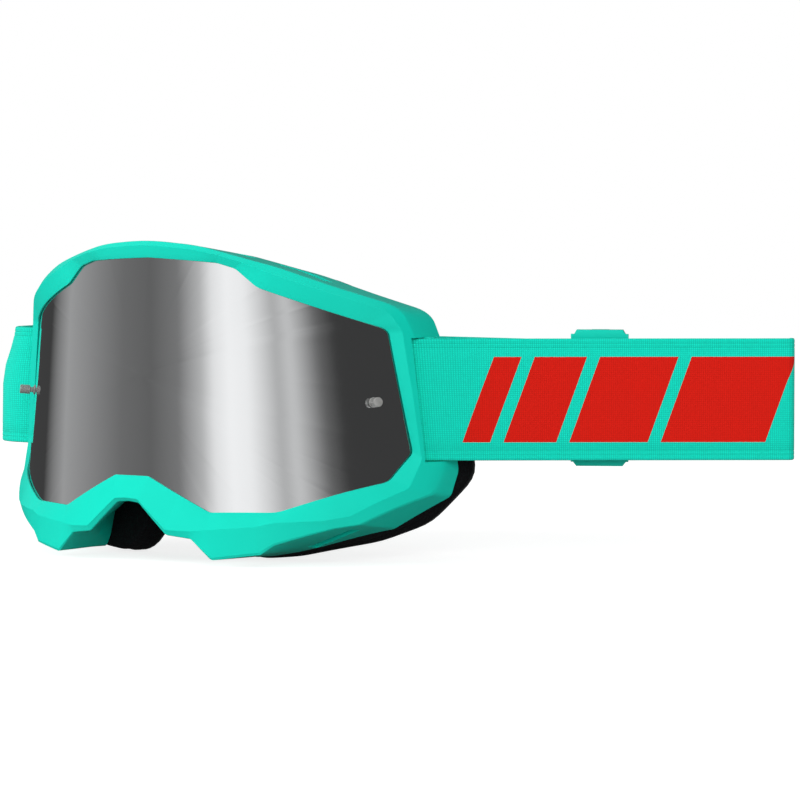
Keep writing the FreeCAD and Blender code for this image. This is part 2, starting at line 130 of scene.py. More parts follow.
# Half of each outline, on the wearer's left, from the top centre down to the bottom centre.
# Each row: port corner (x, z, rounding), share of the band before its crest,
# body corner at the front, body corner at the rear, corner of the flange's hole.
STATIONS = [
    ((0, 18.4, 0), 0.70, (0, 24.4, 120), (0, 24.4), (0, 17.0)),
    ((19.0, 17.65, 0), 0.70, (19.9, 23.0, 80), (19.9, 23.0), (20.0, 14.05)),
    ((26.5, 17.3, 10), 0.68, (29.5, 20.9, 0), (29.5, 20.9), (29.0, 12.7)),
    ((33.2, 15.6, 6), 0.66, (38.5, 18.85, 0), (38.5, 18.85), (37.0, 11.55)),
    ((40.6, 9.6, 8), 0.72, (46.8, 17.0, 80), (46.8, 17.0), (44.0, 10.5)),
    ((58.0, 4.29, 0), 0.74, (63.0, 11.79, 0), (63.0, 11.79), (59.0, 4.55)),
    ((71.5, 0.17, 0), 0.74, (80.2, 7.0, 9), (79.0, 6.9), (69.0, 0.6)),
    ((76.0, -1.2, 3.5), 0.74, (84.6, -2.2, 6), (81.9, -1.7), (73.0, -1.0)),
    ((79.4, -22.0, 0), 0.62, (85.9, -24.5, 0), (85.9, -24.5), (76.3, -24.4)),
    ((82.7, -42.6, 6), 0.52, (88.8, -47.0, 10), (88.8, -47.0), (79.5, -47.0)),
    ((78.4, -53.2, 4), 0.62, (87.4, -56.0, 4), (87.4, -56.0), (72.5, -54.8)),
    ((67.0, -58.88, 0), 0.74, (73.3, -68.7, 4), (73.3, -68.7), (66.0, -62.0)),
    ((60.0, -62.4, 0), 0.72, (68.4, -69.9, 2), (67.0, -70.9), (58.0, -65.75)),
    ((51.5, -66.6, 12), 0.34, (51.4, -78.6, 1.5), (52.0, -76.8), (50.0, -69.5)),
    ((46.0, -67.0, 0), 0.36, (49.6, -82.6, 1.2), (45.0, -79.0), (45.5, -70.5)),
    ((30.6, -68.1, 4), 0.38, (32.3, -84.9, 2), (35.5, -81.2), (41.0, -71.5)),
    ((25.0, -65.44, 0), 0.80, (24.6, -77.6, 2), (33.6, -77.0), (36.0, -65.96)),
    ((19.0, -62.6, 0), 0.88, (16.2, -76.8, 2), (32.0, -68.5), (31.5, -61.0)),
    ((7.0, -56.9, 3), 0.88, (4.6, -66.2, 3), (22.0, -61.0), (27.0, -56.0)),
    ((0, -56.9, 0), 0.88, (0, -65.8, 0), (0, -59.5), (0, -52.0)),
]
PORT = [row[0] for row in STATIONS]
CREST_SHARE = [row[1] for row in STATIONS]
BODY = [row[2] for row in STATIONS]
REAR = [(*row[3], row[2][2]) for row in STATIONS]
HOLE = [(*row[4], 5) for row in STATIONS]
# Foam on the face and the hole in it.
FOAM = [(0, 23.2), (19.9, 21.8), (46.8, 15.8), (66.0, 7.5), (74.0, -0.6), (78.4, -7.0), (87.6, -44.0),
        (87.3, -49.0), (82.0, -58.0), (77.0, -65.6), (63.6, -73.0), (38.6, -80.0), (27.0, -81.4),
        (20.5, -79.2), (17.5, -76.0), (11.0, -65.0), (5.5, -62.6), (0, -62.0)]
FOAM_HOLE = [(0, 10.5), (22.0, 8.2), (44.0, 3.5), (62.0, -4.2), (69.0, -9.0), (72.5, -42.0), (69.0, -50.0),
             (58.0, -59.0), (47.0, -62.6), (37.0, -64.0), (22.0, -55.0), (12.0, -51.6), (0, -50.5)]


# --- outline helpers ----------------------------------------------------------------
def unit(a, b):
    length = math.hypot(a, b)
    return a / length, b / length


def mix(a, b, t):
    return a + (b - a) * t


def share_of(part, whole):
    return min(max(part / whole, 0), 1)


def inset(half, d):
    """Half of an outline moved inwards by d."""
    pts = [(-half[1][0], half[1][1])] + [c[:2] for c in half] + [(-half[-2][0], half[-2][1])]
    out = []
    for i, corner in enumerate(half):
        (x0, z0), (x1, z1), (x2, z2) = pts[i:i + 3]
        n1, n2 = unit(z1 - z0, -(x1 - x0)), unit(z2 - z1, -(x2 - x1))
        k = d / (1 + n1[0] * n2[0] + n1[1] * n2[1])
        x = 0 if corner[0] == 0 else x1 + k * (n1[0] + n2[0])
        out.append((x, z1 + k * (n1[1] + n2[1]), corner[2]))
    return out


def around(half, d):
    """An outline moved in by d, measured along the curved lens."""
    flat = [(LENS_R * math.asin(x / LENS_R), z, r) for x, z, r in half]
    return [(LENS_R * math.sin(u / LENS_R), z, r) for u, z, r in inset(flat, d)]


def trace(half, per_corner=7, per_side=5):
    """Points along the whole outline: the same number for every outline with as many corners."""
    full = list(half) + [(-x, z, r) for x, z, r in reversed(half) if x > 0]
    n = len(full)
    arcs = []
    for i, (x, z, r) in enumerate(full):
        c, a, b = Vector((x, z)), Vector(full[i - 1][:2]), Vector(full[(i + 1) % n][:2])
        u, w = a - c, b - c
        half_turn = u.angle(w) / 2
        cut = r / math.tan(half_turn) if half_turn < 1.56 else 0
        ends = [c + side.normalized() * min(max(cut, 0.35), 0.45 * side.length) for side in (u, w)]
        arcs.append([mix(mix(ends[0], c, t), mix(c, ends[1], t), t)
                     for t in (k / (per_corner - 1) for k in range(per_corner))])
    points = []
    for i, arc in enumerate(arcs):
        points += arc
        start, stop = arc[-1], arcs[(i + 1) % n][0]
        points += [mix(start, stop, k / per_side) for k in range(1, per_side)]
    return [(p.x, p.y) for p in points]


def on_lens(out):
    """Depth of a surface in front of the lens by out."""
    return lambda x: LENS_R - math.sqrt((LENS_R + out) ** 2 - x * x)


def on_face(depth):
    """Depth of a surface behind the frame's rear by depth."""
    return lambda x: FACE_Y + depth + FACE_R - math.sqrt(FACE_R ** 2 - x * x)


def between(front, back, t):
    return lambda x: mix(front(x), back(x), t)


def body_at(depth, d=0.0):
    """The body's outline, moved in by d, where it meets a depth: the nose widens towards the face."""
    out = []
    for b, r in zip(inset(BODY, d), inset(REAR, d)):
        t = 0.0
        for _ in range(4):
            t = share_of(depth(mix(b[0], r[0], t)), TAPER_Y)
        out.append((mix(b[0], r[0], t), mix(b[1], r[1], t), b[2]))
    return out


def blend_outlines(a, b, t):
    return [(mix(p[0], q[0], t), mix(p[1], q[1], t), mix(p[2], q[2], t)) for p, q in zip(a, b)]


def placed(outline, depth):
    """An outline's points as places in the row frame."""
    return [ORIGIN + leaning(x, depth(x), z) * MM for x, z in trace(outline)]


# --- mesh helpers ---------------------------------------------------------------------
def deselect():
    if bpy.context.object and bpy.context.object.mode != "OBJECT":
        bpy.ops.object.mode_set(mode="OBJECT")
    bpy.ops.object.select_all(action="DESELECT")


def pick(obj):
    deselect()
    obj.select_set(True)
    bpy.context.view_layer.objects.active = obj


def wrapped(name, rows, tube=False, ring=True, sharp=35):
    """A grid wrapped over rows of places. ring: each row closes on itself. tube: the last row
    meets the first. Open ends are filled."""
    wide, tall = len(rows[0]), len(rows)
    deselect()
    bpy.ops.mesh.primitive_grid_add(x_subdivisions=wide if ring else wide - 1,
                                    y_subdivisions=tall if tube else tall - 1)
    obj = bpy.context.object
    obj.name = obj.data.name = name
    across = wide + 1 if ring else wide
    for v in obj.data.vertices:
        v.co = rows[(v.index // across) % tall][(v.index % across) % wide]
    bpy.ops.object.mode_set(mode="EDIT")
    bpy.ops.mesh.select_all(action="SELECT")
    bpy.ops.mesh.remove_doubles(threshold=1e-6)
    if not tube:
        bpy.ops.mesh.fill_holes(sides=0)
    bpy.ops.mesh.select_all(action="SELECT")
    bpy.ops.mesh.normals_make_consistent(inside=False)
    bpy.ops.object.mode_set(mode="OBJECT")
    smooth(obj, sharp)
    return obj


def smooth(obj, sharp=35):
    pick(obj)
    bpy.ops.object.shade_smooth_by_angle(angle=math.radians(sharp))


def block(name, corner):
    """A cube whose eight corners go where corner(i, j, k) says, each of i, j, k 0 or 1."""
    deselect()
    bpy.ops.mesh.primitive_cube_add(size=2)
    obj = bpy.context.object
    obj.name = obj.data.name = name
    for v in obj.data.vertices:
        v.co = corner(*(int(c > 0) for c in v.co))
    bpy.ops.object.mode_set(mode="EDIT")
    bpy.ops.mesh.select_all(action="SELECT")
    bpy.ops.mesh.normals_make_consistent(inside=False)
    bpy.ops.object.mode_set(mode="OBJECT")
    return obj


def rounded_edges(obj, width, segments=3, angle=40):
    pick(obj)
    modifier = obj.modifiers.new("round", "BEVEL")
    modifier.width, modifier.segments = width * MM, segments
    modifier.limit_method, modifier.angle_limit = "ANGLE", math.radians(angle)
    bpy.ops.object.modifier_apply(modifier=modifier.name)
    return obj


def combine(obj, other, operation):
    """Boolean of obj with other, which is used up."""
    pick(obj)
    modifier = obj.modifiers.new("cut", "BOOLEAN")
    modifier.operation, modifier.object, modifier.solver = operation, other, "EXACT"
    bpy.ops.object.modifier_apply(modifier=modifier.name)
    bpy.data.objects.remove(other)
    return obj


def join(name, parts):
    deselect()
    for part in parts:
        part.select_set(True)
    bpy.context.view_layer.objects.active = parts[0]
    bpy.ops.object.join()
    obj = bpy.context.object
    obj.name = obj.data.name = name
    return obj


def turned(name, profile, base, axis, around_axis=32, sharp=35, tube=False):
    """A turned solid: profile is (distance along the axis, radius), both in mm."""
    side = axis.orthogonal().normalized()
    other = axis.cross(side)
    rows = []
    for along, radius in profile:
        centre = base + axis * along * MM
        rows.append([centre + (side * math.cos(a) + other * math.sin(a)) * radius * MM
                     for a in (math.tau * k / around_axis for k in range(around_axis))])
    return wrapped(name, rows, tube=tube, sharp=sharp)


def finish_piece(obj, material, slot, body, *nodes):
    obj.data.materials.clear()
    obj.data.materials.append(material)
    if body:
        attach(obj, body)
    if nodes:
        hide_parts(*nodes)
    return obj


# --- frame shell --------------------------------------------------------------------
def behind_front(x):
    """Rear of the frame's front wall."""
    return min(on_lens(-RIM_BACK)(x), on_face(-FLANGE_T - 6)(x))


def shell_rows():
    """Closed loops round the frame's section: out over the front, back along the side, and inside."""
    lip = body_at(on_lens(1.2))
    crest = [(mix(p[0], b[0], s), mix(p[1], b[1], s), mix(p[2], b[2], s))
             for p, b, s in zip(PORT, lip, CREST_SHARE)]
    groove = around(PORT, -LENS_LAP - GROOVE_END)
    rows = [placed(groove, on_lens(GROOVE_GAP)), placed(PORT, on_lens(GROOVE_GAP)),
            placed(PORT, on_lens(0.7)),
            placed(blend_outlines(PORT, crest, 0.06), on_lens(0.9)),
            placed(blend_outlines(PORT, crest, 0.5), on_lens(1.9)),
            placed(blend_outlines(PORT, crest, 0.96), on_lens(2.92)),
            placed(crest, on_lens(2.95)), placed(blend_outlines(crest, lip, 0.06), on_lens(2.85)),
            placed(blend_outlines(crest, lip, 0.5), on_lens(2.3)),
            placed(blend_outlines(crest, lip, 0.92), on_lens(1.75)), placed(lip, on_lens(1.2))]
    for share in (0.35, 0.7):
        depth = between(on_lens(1.2), on_face(-0.6), share)
        rows.append(placed(body_at(depth), depth))
    rows += [placed(body_at(on_face(-0.5)), on_face(-0.5)), placed(body_at(on_face(0), 0.45), on_face(0)),
             placed(inset(HOLE, -0.3), on_face(0)), placed(HOLE, on_face(-0.4)),
             placed(HOLE, on_face(-FLANGE_T)),
             placed(body_at(on_face(-FLANGE_T), WALL), on_face(-FLANGE_T)),
             placed(body_at(behind_front, WALL), behind_front),
             placed(PORT, behind_front), placed(PORT, on_lens(-LENS_T - GROOVE_GAP)),
             placed(groove, on_lens(-LENS_T - GROOVE_GAP))]
    return rows


def level(x, y, z):
    """A place given in mm in the level frame, from the front of the lens."""
    return ORIGIN + Vector((x, y, z)) * MM


def slot_cutter(sign):
    """Clearance for the webbing round a strap bar."""
    t, n = (math.cos(SLOT_AZ), math.sin(SLOT_AZ)), (-math.sin(SLOT_AZ), math.cos(SLOT_AZ))

    def corner(i, j, k):
        s = SLOT_REAR if i else (SLOT_TOP if k else SLOT_FOOT)
        d = SLOT_OUT if j else SLOT_IN
        z = MID_Z + (STRAP_W / 2 + SLOT_OVER if k else -STRAP_W / 2 - SLOT_UNDER)
        return level(sign * (BAR_X + t[0] * s + n[0] * d), BAR_Y + t[1] * s + n[1] * d, z)
    return block("cutter", corner)


def vent_cutter(x, half, y0, z0, z1, depth=5):
    """Clearance for one vent: half its width either side of x, and depth towards the face."""
    return block("cutter", lambda i, j, k: ORIGIN + MM * leaning(
        x + (half if i else -half), y0 + depth * j, z1 if k else z0))


def build_shell(finish):
    """Faceted front, side walls and rear flange, cut for the straps and the vents."""
    obj = wrapped("frame_shell", shell_rows(), tube=True, sharp=11)
    for sign in (1, -1):
        combine(obj, slot_cutter(sign), "DIFFERENCE")
        combine(obj, vent_cutter(sign * CHEEK_VENT, CHEEK_VENT_HALF, 35, -90, -65), "DIFFERENCE")
        for x in TOP_VENTS:
            combine(obj, vent_cutter(sign * x, TOP_VENT_HALF, 17 + x * 0.2, 5, 30), "DIFFERENCE")
    smooth(obj, 11)
    return finish_piece(obj, finish, "frame_plastic", "goggles", "frame")


# --- lens, posts, washers -------------------------------------------------------------
def build_lens(finish):
    """The curved lens as a closed sheet, drawn in rings out from its middle."""
    outline = trace(around(PORT, -LENS_LAP))
    middle_z, rings = -22.0, 26

    def ring(share, out):
        depth = on_lens(out)
        return [ORIGIN + MM * leaning(x * share, depth(x * share), mix(middle_z, z, share))
                for x, z in outline]
    shares = [k / rings for k in range(rings + 1)]
    rows = [ring(s, 0) for s in shares] + [ring(s, -LENS_T) for s in reversed(shares)]
    obj = wrapped("mirror_lens", rows, sharp=10)
    return finish_piece(obj, finish, "lens_mirror", "goggles", "lens")


def post_axis(sign):
    """Foot of a tear-off post on the lens, and the way the post points."""
    x, y = math.sin(POST_ANGLE) * sign, -math.cos(POST_ANGLE)
    return ORIGIN + MM * leaning(LENS_R * x, LENS_R + LENS_R * y, POST_Z), leaning(x, y, 0)


def build_posts(finish, rubber):
    """Ribbed tear-off studs with a flared foot, and the washer behind each."""
    ribs = []
    for k in range(5):
        start = 1.95 + 0.62 * k
        ribs += [(start, 1.68), (start + 0.34, 1.68), (start + 0.41, 1.45), (start + 0.55, 1.45)]
    profile = [(-2.4, 0), (-2.4, 1.0), (-2.3, 1.15), (-0.05, 1.15), (0.02, 1.7), (0.1, 1.8), (0.4, 1.7),
               (0.6, 1.2), (0.8, 0.95), (1.75, 0.95), (1.82, 1.5)] + ribs
    profile += [(5.1, 1.68), (5.32, 1.55), (5.4, 1.3), (5.4, 0)]
    washer = [(-0.98, 1.2), (-0.98, 2.7), (-1.1, 2.8), (-1.75, 2.8), (-1.88, 2.7), (-1.88, 1.2)]
    washers = []
    for side, sign in (("left", 1), ("right", -1)):
        base, axis = post_axis(sign)
        post = turned("tear_off_stud_" + side, profile, base, axis)
        finish_piece(post, finish, "post_plastic", "goggles", "tear_off_post_" + side)
        washers.append(turned("washer", washer, base, axis, tube=True))
    finish_piece(join("stud_washers", washers), rubber, "washer_rubber", "goggles", "tear_off_washers")


# --- foams ---------------------------------------------------------------------------
def star(half, count=220, centre_z=-25.0):
    """Points of an outline in evenly spaced directions from its middle, with soft corners."""
    full = [Vector(p) for p in half] + [Vector((-x, z)) for x, z in reversed(half) if x > 0]
    centre = Vector((0, centre_z))
    reach = []
    for k in range(count):
        a = math.tau * (k + 0.5) / count
        ray = Vector((math.sin(a), math.cos(a)))
        best = 0
        for p, q in zip(full, full[1:] + full[:1]):
            side = q - p
            cross = ray.x * side.y - ray.y * side.x
            if abs(cross) < 1e-9:
                continue
            offset = p - centre
            t = (offset.x * side.y - offset.y * side.x) / cross
            s = (offset.x * ray.y - offset.y * ray.x) / cross
            if t > 0 and -1e-6 <= s <= 1 + 1e-6:
                best = max(best, t)
        reach.append(best)
    for _ in range(2):
        reach = [(reach[k - 1] + 2 * reach[k] + reach[(k + 1) % count]) / 4 for k in range(count)]
    return [(centre + Vector((math.sin(a), math.cos(a))) * r)
            for a, r in ((math.tau * (k + 0.5) / count, r) for k, r in enumerate(reach))]


def foam_layer(name, outer, inner, d0, d1, bulge, edge, finish, slot, node):
    """One bonded layer of the face foam, its free edges crowned."""
    def ring(points, other, toward, depth):
        out = []
        for p, q in zip(points, other):
            x, z = p + (q - p).normalized() * toward
            out.append(ORIGIN + MM * leaning(x, on_face(depth)(x), z))
        return out
    steps = [(edge, d0 + 0.02), (0.25 * edge, d0 + 0.3 * edge), (-0.8 * bulge, mix(d0, d1, 0.3)),
             (-bulge, mix(d0, d1, 0.5)), (-0.8 * bulge, mix(d0, d1, 0.7)), (0.25 * edge, d1 - 0.4 * edge),
             (edge, d1 - 0.02)]
    rows = [ring(outer, inner, toward, depth) for toward, depth in steps]
    rows += [ring([mix(p, q, 0.5) for p, q in zip(outer, inner)], inner, 0, d1 - 0.02)]
    rows += [ring(inner, outer, toward, depth) for toward, depth in reversed(steps)]
    obj = wrapped(name, rows, tube=True, sharp=50)
    for sign in (1, -1):
        combine(obj, slot_cutter(sign), "DIFFERENCE")
    smooth(obj, 50)
    return finish_piece(obj, finish, slot, "goggles", node)


def build_face_foam(soft, fleece):
    """Two foam layers and the fleece that lies on the skin."""
    outer, inner = star(FOAM), star(FOAM_HOLE)
    layers = (("face_foam_first", 0.5, 0.5, soft, "face_foam", "face_foam_base"),
              ("face_foam_second", 0.5, 0.5, soft, "face_foam", "face_foam_core"),
              ("face_fleece", 0.1, 0.6, fleece, "face_fleece", "face_foam_fleece"))
    for (name, *look), d0, d1 in zip(layers, FOAM_DEPTHS, FOAM_DEPTHS[1:]):
        foam_layer(name, outer, inner, d0, d1, *look)


def height_on(points, x):
    """Height of an outline's run of corners at x."""
    for (x0, z0, _), (x1, z1, _) in zip(points, points[1:]):
        if min(x0, x1) <= x <= max(x0, x1) and x0 != x1:
            return mix(z0, z1, (x - x0) / (x1 - x0))
    raise ValueError("the outline does not reach x = %.1f" % x)


def vent_strip(name, points, x0, x1, y0, y1, up, finish, node):
    """A thin filter strip on the inside of the frame's wall, behind its vents."""
    rows, steps, thick = [], 40, 0.6
    for k in range(steps + 1):
        x = mix(x0, x1, k / steps)
        z = height_on(points, abs(x)) - 0.03 * up
        back = min(y1, on_face(-FLANGE_T - 0.3)(x))
        front = max(y0, on_lens(-RIM_BACK - 0.3)(x))
        ring = [(front, z), (mix(front, back, 0.5), z), (back, z), (back, z - thick * up),
                (mix(front, back, 0.5), z - thick * up), (front, z - thick * up)]
        rows.append([ORIGIN + MM * leaning(x, y, h) for y, h in ring])
    obj = wrapped(name, rows, sharp=50)
    return finish_piece(obj, finish, "open_foam", "goggles", node)


def build_vent_foam(finish):
    """Filters behind the top vents and both cheek vents."""
    top = inset(BODY, WALL + 0.05)[:8]
    cheek = inset(REAR, WALL + 0.05)[10:14]
    vent_strip("top_vent_filter", top, -60, 60, 13, 33, 1, finish, "top_vent_foam")
    vent_strip("cheek_vent_filter_left", cheek, 52, 70, 34, 44, -1, finish, "cheek_vent_foam_left")
    vent_strip("cheek_vent_filter_right", cheek, -70, -52, 34, 44, -1, finish, "cheek_vent_foam_right")


# --- strap ------------------------------------------------------------------------------
class Line:
    """A straight stretch of strap seen from above: s along it, n to its left, in mm."""

    def __init__(self, origin, azimuth):
        self.o = Vector(origin)
        self.t = Vector((math.cos(azimuth), math.sin(azimuth)))
        self.n = Vector((-math.sin(azimuth), math.cos(azimuth)))

    def at(self, s, n=0.0):
        return self.o + self.t * s + self.n * n

    def corner(self, s, n, r):
        return (*self.at(s, n), r)

    def place(self, s, n, z):
        return level(*self.at(s, n), z)


near = Line((BAR_X, BAR_Y), STRAP_AZ)
fold_middle = near.at(FOLD_S - FOLD_R - WEB / 2, -LEG + FOLD_R)
rear = Line(fold_middle + Vector((-math.sin(REAR_AZ), math.cos(REAR_AZ))) * FOLD_R, REAR_AZ)
bend_s = (REAR_Y - rear.o.y) / rear.t.y
far = Line((-BAR_X, BAR_Y), math.pi)
middle = Line(rear.at(-SLIDER_BACK), REAR_AZ)


def path_points(corners, arc_steps=12, longest=4.0):
    """Points along a path seen from above, its corners (x, y, radius) turned into arcs."""
    points = [Vector(corners[0][:2])]
    cuts = [0.0]
    for (p, c, q) in zip(corners, corners[1:], corners[2:]):
        u, w = Vector(p[:2]) - Vector(c[:2]), Vector(q[:2]) - Vector(c[:2])
        half = u.angle(w) / 2
        cuts.append(c[2] / math.tan(half) if half < 1.565 else 0.0)
    cuts.append(0.0)
    fits = [1.0] * len(corners)
    for i in range(len(corners) - 1):
        gap = (Vector(corners[i + 1][:2]) - Vector(corners[i][:2])).length
        room = 0.98 * gap / max(cuts[i] + cuts[i + 1], 1e-9)
        fits[i], fits[i + 1] = min(fits[i], room), min(fits[i + 1], room)
    for i in range(1, len(corners)):
        c = Vector(corners[i][:2])
        back = (Vector(corners[i - 1][:2]) - c).normalized()
        start = c + back * cuts[i] * fits[i]
        run = start - points[-1]
        count = max(1, math.ceil(run.length / longest))
        points += [points[-1] + run * k / count for k in range(1, count + 1)]
        if i < len(corners) - 1 and cuts[i] > 0:
            ahead = (Vector(corners[i + 1][:2]) - c).normalized()
            stop = c + ahead * cuts[i] * fits[i]
            radius = cuts[i] * fits[i] * math.tan(back.angle(ahead) / 2)
            inward = (start + stop - 2 * c).normalized()
            centre = c + inward * radius / math.sin(back.angle(ahead) / 2)
            a, b = start - centre, stop - centre
            sweep = math.atan2(a.x * b.y - a.y * b.x, a.dot(b))
            for k in range(1, arc_steps + 1):
                t = sweep * k / arc_steps
                points.append(centre + Vector((a.x * math.cos(t) - a.y * math.sin(t),
                                               a.x * math.sin(t) + a.y * math.cos(t))))
    return points


# Half thickness of the webbing at distances from its edge: a rounded selvedge and two ribs.
EDGE_PROFILE = [(0.0, 0.22), (0.2, 0.5), (0.6, 0.68), (1.5, 0.7), (1.75, 0.56), (2.0, 0.7), (2.9, 0.7),
                (3.15, 0.56), (3.4, 0.7), (8.0, 0.7), (14.0, 0.7)]


def webbing(name, corners, finish, slant=None):
    """Webbing along a path seen from above. slant(q, v) is how far the point over q, at height v
    above the lower edge, moves along the floor and up, in mm."""
    points = path_points(corners)
    bottom = STRAP_TOP - STRAP_W
    across = EDGE_PROFILE + [(STRAP_W / 2, WEB / 2)]
    across += [(STRAP_W - v, h) for v, h in reversed(EDGE_PROFILE)]
    section = across + [(v, -h) for v, h in reversed(across)]
    rows, lengths = [], [0.0]
    for i, p in enumerate(points):
        before, after = points[max(i - 1, 0)], points[min(i + 1, len(points) - 1)]
        if i:
            lengths.append(lengths[-1] + (p - points[i - 1]).length)
        t = ((p - before).normalized() + (after - p).normalized()).normalized() if before != p != after \
            else (after - before).normalized()
        n = Vector((-t.y, t.x))
        row = []
        for v, h in section:
            q, z = p + n * h, bottom + v
            if slant:
                shift, rise = slant(q, v)
                q, z = q + shift, z + rise
            row.append(level(*q, z))
        rows.append(row)
    obj = wrapped(name, rows, sharp=50)
    unroll(obj, [s * MM for s in lengths], [v * MM for v, _ in section])
    obj.data.materials.append(finish)
    return obj


def unroll(obj, along, across):
    """UVs in metres: u along the webbing, v up from its lower edge."""
    layer = obj.data.uv_layers.active
    layer.name = "weave"
    for item in layer.data:
        column, row = round(item.uv.x * len(across)), round(item.uv.y * (len(along) - 1))
        item.uv = (along[row], across[column % len(across)])


def main_corners():
    """The long strap: round the left bar, out to the fold, back to the ring and through it."""
    fold_end = FOLD_S - WEB / 2
    turn = rear.at((fold_end - (rear.o - near.o).dot(near.t)) / rear.t.dot(near.t))
    ring_end = RING_X + RING_PITCH / 2 - TAIL_OFF / 2
    tight = TAIL_OFF / 2 - 0.05
    return [near.corner(24, -LEG + WEB + SEAM, 0), near.corner(11, -LEG + WEB + SEAM, 6),
            near.corner(4.5, LEG, 5), near.corner(-LEG, LEG, LEG - 0.05), near.corner(-LEG, -LEG, LEG - 0.05),
            near.corner(fold_end, -LEG, FOLD_R - 0.05), (*turn, FOLD_R - 0.05),
            rear.corner(bend_s, 0, REAR_BEND_R), (ring_end, REAR_Y, tight),
            (ring_end, REAR_Y + TAIL_OFF, tight), (TAIL_X - SEAM, REAR_Y + TAIL_OFF, 0)]


def tail_corners():
    """The long strap's sewn end: from the ring to the slider and round its middle bar."""
    bend = rear.at(bend_s)
    shift = TAIL_OFF * math.tan(REAR_AZ / 2)
    inner, end = WEB + LAYER_GAP, SLIDER_BAR / 2 + 0.1 + WEB / 2 + 0.2
    return [(TAIL_X, REAR_Y + TAIL_OFF, 0), (bend.x - shift, bend.y + TAIL_OFF, REAR_BEND_R + TAIL_OFF),
            middle.corner(end, TAIL_OFF, 1.1), middle.corner(end, inner, 1.1), middle.corner(-3.6, inner, 2),
            middle.corner(-6.2, TAIL_OFF - WEB - SEAM, 2), middle.corner(-9.5, TAIL_OFF - WEB - SEAM, 0)]


def short_corners():
    """The short strap: sewn round the ring, along the back and round the right bar."""
    bar, leg, y1 = RING_X - RING_PITCH / 2, TAIL_OFF / 2, REAR_Y + TAIL_OFF
    sewn = WEB + SEAM
    return [(bar - 22, REAR_Y + sewn, 0), (bar - 9, REAR_Y + sewn, 4), (bar - 5, y1, 4),
            (bar + leg, y1, leg - 0.05), (bar + leg, REAR_Y, leg - 0.05),
            (SIDE_X, REAR_Y, REAR_BEND_R), (SIDE_X, BAR_Y - LEG, SIDE_R),
            far.corner(-LEG, LEG, LEG - 0.05), far.corner(-LEG, -LEG, LEG - 0.05),
            far.corner(1.5, -LEG, 2), far.corner(5.0, LEG - sewn, 3),
            (SIDE_X + sewn, BAR_Y - LEG + sewn, SIDE_R - sewn), (SIDE_X + sewn, BAR_Y + 17, 0)]


def narrowed(q, v):
    """Stretched webbing, whose upper edge is a little lower."""
    return Vector((0, 0)), -REAR_DROP * v / STRAP_W


def bulging(q, v):
    """Webbing at the right bar, and its slack beside the goggles, fuller below than above."""
    shift, rise = at_bar(far)(q, v)
    along = share_of(-q.x - BAR_X - BULGE_START, BULGE_RISE) * share_of(REAR_Y + BULGE_END - q.y, BULGE_FADE)
    full = share_of(STRAP_W - v, BULGE_FADE)
    full = full * full * (3 - 2 * full) * along
    return shift + Vector((-SIDE_BULGE * full, 0)), rise


def at_bar(line, reach=34.0, forward=1.1, lean_in=3.8, corner_r=3.0):
    """Webbing lies along the slanting rim: its upper edge sits further forward, and its lower
    corner is rounded. Both fade out along the line, away from the bar. Behind the outer layer the
    webbing is narrower."""
    def slant(q, v):
        s, n = (q - line.o).dot(line.t), (q - line.o).dot(line.n)
        if s > reach or abs(n) > 14:
            return Vector((0, 0)), -REAR_DROP * v / STRAP_W * share_of(n - DROP_FROM, DROP_OVER)
        fade = 1 - max(s, 0) / reach
        shift = -line.t * (forward + lean_in * v / STRAP_W) * fade * fade
        turn = share_of(corner_r - LEG - WEB / 2 - s, corner_r)
        rise = corner_r * (1 - math.sqrt(1 - turn * turn)) * max(1 - v / (3 * corner_r), 0)
        return shift, rise
    return slant


def build_straps(printed, plain):
    """The long strap with its woven stripes, its sewn end that runs to the slider and round its middle bar,
    and the short strap.
    """
    def ride(obj, node):
        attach(obj, "goggles")
        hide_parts(node)
    ride(webbing("strap_long", main_corners(), printed, at_bar(near)), "strap_main")
    ride(webbing("strap_around", short_corners(), plain, bulging), "strap_short")
    tail = webbing("strap_sewn_end", tail_corners(), plain, narrowed)
    bend = rear.at(bend_s)
    start, end = level(bend.x, bend.y, MID_Z), middle.place(-10, 0, MID_Z)
    before = abs(TAIL_X - bend.x) * MM
    for item in tail.data.uv_layers["weave"].data:
        item.uv.x += STRETCH_WEAVE * min(max(item.uv.x - before, 0), (end - start).length)
    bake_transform(tail)
    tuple(start)
    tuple(end)
    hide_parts("strap_tail")


# --- buckles and trim ----------------------------------------------------------------------
def line_block(line, s, n, z, taper=0.0):
    """A block in a strap line's own directions; its outer end in z can be shorter along s."""
    def corner(i, j, k):
        outer = abs(z[k] - MID_Z) > abs(z[1 - k] - MID_Z)
        along = s[i] + (taper if outer else 0) * (1 if i == 0 else -1)
        return line.place(along, n[j], z[k])
    return block("block", corner)


